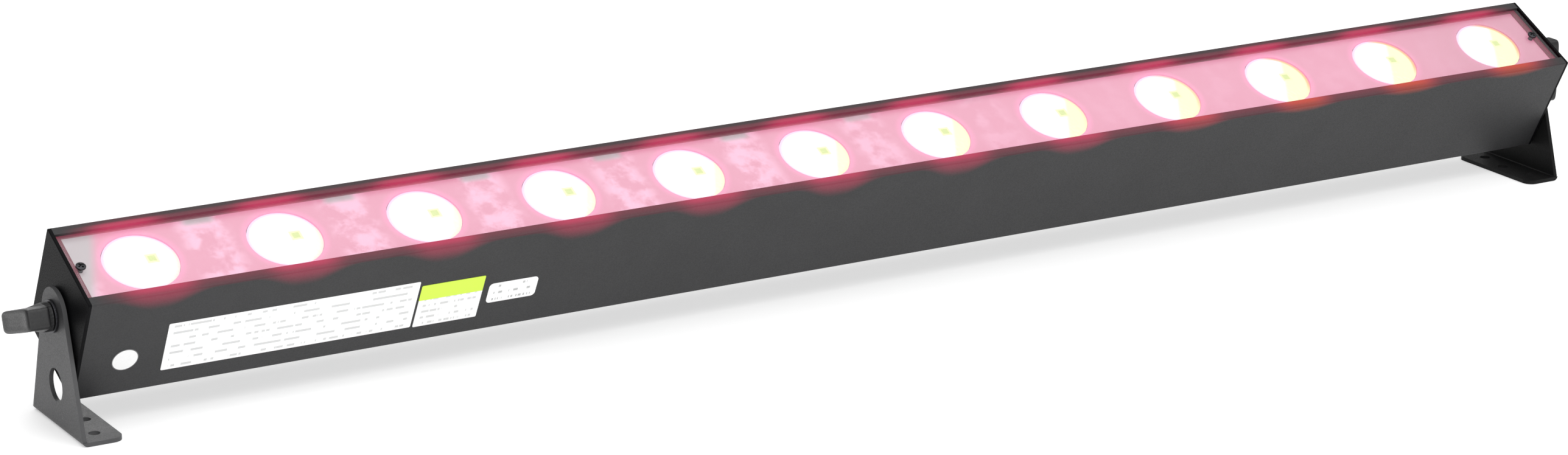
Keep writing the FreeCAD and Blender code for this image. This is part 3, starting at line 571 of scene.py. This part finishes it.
def screw(mesh_data, matrix, head, head_thick, shank, length):
    """Cross-head screw standing on the matrix's Z axis, its seat at the origin."""
    rings, segments, dome = [], 72, head_thick * 0.3
    for step in range(27):
        radius = head * 0.94 * step / 26
        ring = []
        for turn in range(segments if step else 1):
            angle = 2 * math.pi * turn / segments
            x, y = radius * math.cos(angle), radius * math.sin(angle)
            height = head_thick - dome * (radius / head) ** 2 - head_thick * 0.8 * cross_recess(x, y)
            ring.append(matrix @ Vector((x, y, height)))
        rings.append(ring)
    for radius, height in ((head, head_thick * 0.6), (head, 0), (shank, 0), (shank, -length), (0, -length)):
        rings.append(circle_ring(matrix, radius, height, segments))
    loft(mesh_data, rings, smooth=False)


def make_screws():
    """Cross-head screws where the CAD has its fasteners, each turned by its own chance amount."""
    chance = random.Random(7)
    head_thick, shank = 1.2 * MM, 1.5 * MM
    for node, material, slot in (("cover_screws", "black_steel", "bright_screw"),
                                 ("housing_screws", "black_steel", "black_steel")):
        data = bmesh.new()
        for low, high in islands(node):
            centre, size = (low + high) / 2, high - low
            if high.y > BODY_HIGH.y:  # in the back wall
                seat = Vector((centre.x, high.y - head_thick, centre.z))
                facing, length = OUTWARD, size.y - head_thick
            elif low.z < BODY_LOW.z:  # in the underside
                seat = Vector((centre.x, centre.y, low.z + head_thick))
                facing, length = Matrix.Rotation(math.pi, 4, "X"), size.z - head_thick
            else:  # in the cover
                seat = Vector((centre.x, centre.y, high.z - head_thick))
                facing, length = Matrix(), size.z - head_thick
            spin = Matrix.Rotation(chance.uniform(0, math.pi / 2), 4, "Z")
            place = HOUSING @ Matrix.Translation(seat) @ facing @ spin
            screw(data, place, size.x / 2, head_thick, shank, length)
        add_piece(f"{node}_cross_head", data, material, slot, node)


def make_bumpers():
    """Domed stick-on rubber feet on the underside of the channel."""
    data = bmesh.new()
    for low, high in islands("rubber_bumpers"):
        centre, radius, thick = (low + high) / 2, (high.x - low.x) / 2, high.z - low.z
        profile = [(0, -thick)]
        for step in range(9):
            angle = math.pi / 2 * step / 8
            profile.append((radius - thick + thick * math.sin(angle), -thick * math.cos(angle)))
        profile.append((0, 0))
        lathe(data, profile, HOUSING @ Matrix.Translation((centre.x, centre.y, high.z)), 40)
    add_piece("rubber_bumpers_domed", data, "rubber", "bumper_rubber", "rubber_bumpers")


def rounded_outline(width, height, radius, steps=8):
    """Corner-rounded rectangle about the origin, as (across, up) pairs."""
    points = []
    for corner in range(4):
        centre_x = (width / 2 - radius) * (1 if corner in (0, 3) else -1)
        centre_y = (height / 2 - radius) * (1 if corner in (0, 1) else -1)
        for step in range(steps + 1):
            angle = math.pi / 2 * (corner + step / steps)
            points.append((centre_x + radius * math.cos(angle), centre_y + radius * math.sin(angle)))
    return points


def make_labels():
    """Thin films with rounded corners, stuck to the front wall."""
    for node, material, corner in (("rating_label", "rating", 0.8), ("notice_label", "notice", 0.8),
                                   ("small_label", "small", 2.6), ("round_sticker", "sticker", 7.5)):
        low, high = housing_box(node)
        centre, size = (low + high) / 2, high - low
        rings = []
        for inset, level in ((None, high.y), (0, high.y), (0, low.y + 0.05 * MM),
                             (0.05 * MM, low.y), (None, low.y)):
            outline = [(0, 0)]
            if inset is not None:
                outline = rounded_outline(size.x - 2 * inset, size.z - 2 * inset, corner * MM - inset)
            rings.append([HOUSING @ Vector((centre.x + across, level, centre.z + up))
                          for across, up in outline])
        data = bmesh.new()
        loft(data, rings, smooth=False)
        slot = "sticker_grey" if node == "round_sticker" else "label_white"
        add_piece(f"{node}_film", data, material, slot, node)


KNOB_EDGE = 1.5 * MM


def knob_section(height, hub, hub_length, half_span, half_thick, depth):
    """Half sizes and squareness of a T-knob's section at a height above its hub face."""
    flare = min(max((height - hub_length + 1.4 * MM) / (2.6 * MM), 0), 1)
    flare = flare * flare * (3 - 2 * flare)
    into_edge = height - (hub_length + depth) + KNOB_EDGE
    pull = 0.0
    if into_edge > 0:
        pull = KNOB_EDGE - math.sqrt(max(KNOB_EDGE ** 2 - into_edge ** 2, 0))
    span = hub + (half_span - hub) * flare - pull
    thick = hub + (half_thick - hub) * flare - pull
    return span, thick, 2 + 5 * flare


def make_knobs():
    """T-knobs: a ribbed round hub that flares into a rounded bar with a dished outer face.

    The bar's direction comes from the spread of the CAD knob's outermost points.
    """
    segments, ribs, dish = 96, 24, 0.45 * MM
    for side, facing in (("left", -1), ("right", 1)):
        node = f"{side}_knob"
        points = [vertex.co - PIVOT for vertex in frame["nodes"][node].data.vertices]
        near, far = sorted((min(abs(point.x) for point in points), max(abs(point.x) for point in points)))
        ends = [point for point in points if abs(point.x) > far - 5 * MM]
        spread = sum(point.y ** 2 - point.z ** 2 for point in ends)
        turn = math.atan2(2 * sum(point.y * point.z for point in ends), spread) / 2
        wing, axis = Vector((0, math.cos(turn), math.sin(turn))), Vector((facing, 0, 0))
        half_span = max(point.dot(wing) for point in ends)
        half_thick = max(point.dot(axis.cross(wing)) for point in ends)
        place = Matrix((wing, axis.cross(wing), axis)).transposed().to_4x4()
        place = Matrix.Translation(PIVOT + Vector((facing * near, 0, 0))) @ place
        depth = 13.6 * MM
        hub_length, hub = far - near - depth, 8 * MM
        rings = [[place @ Vector((0, 0, 0))]]
        heights = [0, 0.3 * MM] + [hub_length * step / 8 for step in range(2, 8)]
        heights += [hub_length + depth * step / 16 for step in range(0, 15)]
        heights += [far - near - KNOB_EDGE * (1 - step / 6) for step in range(7)]
        for height in sorted(set(heights)):
            span, thick, power = knob_section(height, hub, hub_length, half_span, half_thick, depth)
            ring = []
            for step in range(segments):
                angle = 2 * math.pi * (step + 0.5) / segments
                cosine, sine = math.cos(angle), math.sin(angle)
                across = span * math.copysign(abs(cosine) ** (2 / power), cosine)
                up = thick * math.copysign(abs(sine) ** (2 / power), sine)
                rib = 1 - 0.025 * (math.cos(ribs * angle) > 0) * (power < 2.01) * (height > 0.2 * MM)
                ring.append(place @ Vector((across * rib, up * rib, height)))
            rings.append(ring)
        top = far - near
        outer = rings[-1]
        centre = place @ Vector((0, 0, top))
        for share, dip in ((0.9, 0), (0.8, 0.35 * MM), (0.4, dish)):
            sunk = place.to_3x3() @ Vector((0, 0, dip))
            rings.append([centre + (point - centre) * share - sunk for point in outer])
        rings.append([place @ Vector((0, 0, top - dish))])
        data = bmesh.new()
        loft(data, rings)
        add_piece(f"{side}_knob_moulding", data, "knob", "black_plastic", node, body=node)


def make_buttons():
    """Domed push-button caps with a shallow finger dish, each on its own body."""
    for node in ("menu_button", "down_button", "up_button", "enter_button"):
        low, high = housing_box(node)
        centre, radius, length = (low + high) / 2, (high.x - low.x) / 2, high.y - low.y
        profile = [(0, 0), (radius, 0), (radius, length - 0.5 * MM), (radius - 0.15 * MM, length - 0.15 * MM),
                   (radius - 0.5 * MM, length), (radius * 0.6, length - 0.15 * MM), (0, length - 0.3 * MM)]
        place = HOUSING @ Matrix.Translation((centre.x, low.y, centre.z)) @ OUTWARD
        data = bmesh.new()
        lathe(data, profile, place, 40)
        add_piece(f"{node}_cap", data, "button", "black_plastic", node, body=node)


def make_contacts():
    """Brass sleeves in the three contact holes at the bottom of each socket's well."""
    circle, outer, inner, deep, well_depth = 5 * MM, 1.22 * MM, 0.7 * MM, 3.4 * MM, 12 * MM
    for node in ("power_inlet", "power_outlet", "data_in_socket", "data_out_socket"):
        low, high = housing_box(node)
        centre, floor = (low + high) / 2, high.y - well_depth
        data = bmesh.new()
        for degrees in (90, 210, 330):
            angle = math.radians(degrees)
            spot = Vector((centre.x + circle * math.cos(angle), floor - deep,
                           centre.z + circle * math.sin(angle)))
            place = HOUSING @ Matrix.Translation(spot) @ OUTWARD
            profile = [(0, 0), (outer, 0), (outer, deep - 0.2 * MM), (outer - 0.15 * MM, deep),
                       (inner + 0.15 * MM, deep), (inner, deep - 0.2 * MM), (inner, 0.4 * MM), (0, 0.4 * MM)]
            lathe(data, profile, place, 24)
        add_piece(f"{node}_contacts", data, "brass", "brass")


def soften_edges():
    """Small edge breaks on the CAD nodes that show, as pressed and moulded parts have."""
    widths = {"left_bracket": 0.35, "right_bracket": 0.35, "left_end_plate": 0.25, "right_end_plate": 0.25,
              "left_washer": 0.2, "right_washer": 0.2, "power_inlet": 0.3, "power_outlet": 0.3,
              "data_in_socket": 0.3, "data_out_socket": 0.3, "fuse_holder": 0.3}
    for node, width in widths.items():
        piece = frame["nodes"][node]
        weld = piece.modifiers.new("weld", "WELD")
        weld.merge_threshold = 1e-6
        bevel = piece.modifiers.new("edge_break", "BEVEL")
        bevel.width = width * MM
        bevel.segments = 2
        bevel.limit_method = "ANGLE"
        bevel.angle_limit = math.radians(40)
        normals = piece.modifiers.new("face_normals", "WEIGHTED_NORMAL")
        normals.keep_sharp = True


# ------------------------------------------------------------------ the scene
make_camera()
make_studio()
make_materials()
dress_nodes()
make_lenses()
make_screws()
make_bumpers()
make_labels()
make_knobs()
make_buttons()
make_contacts()
soften_edges()
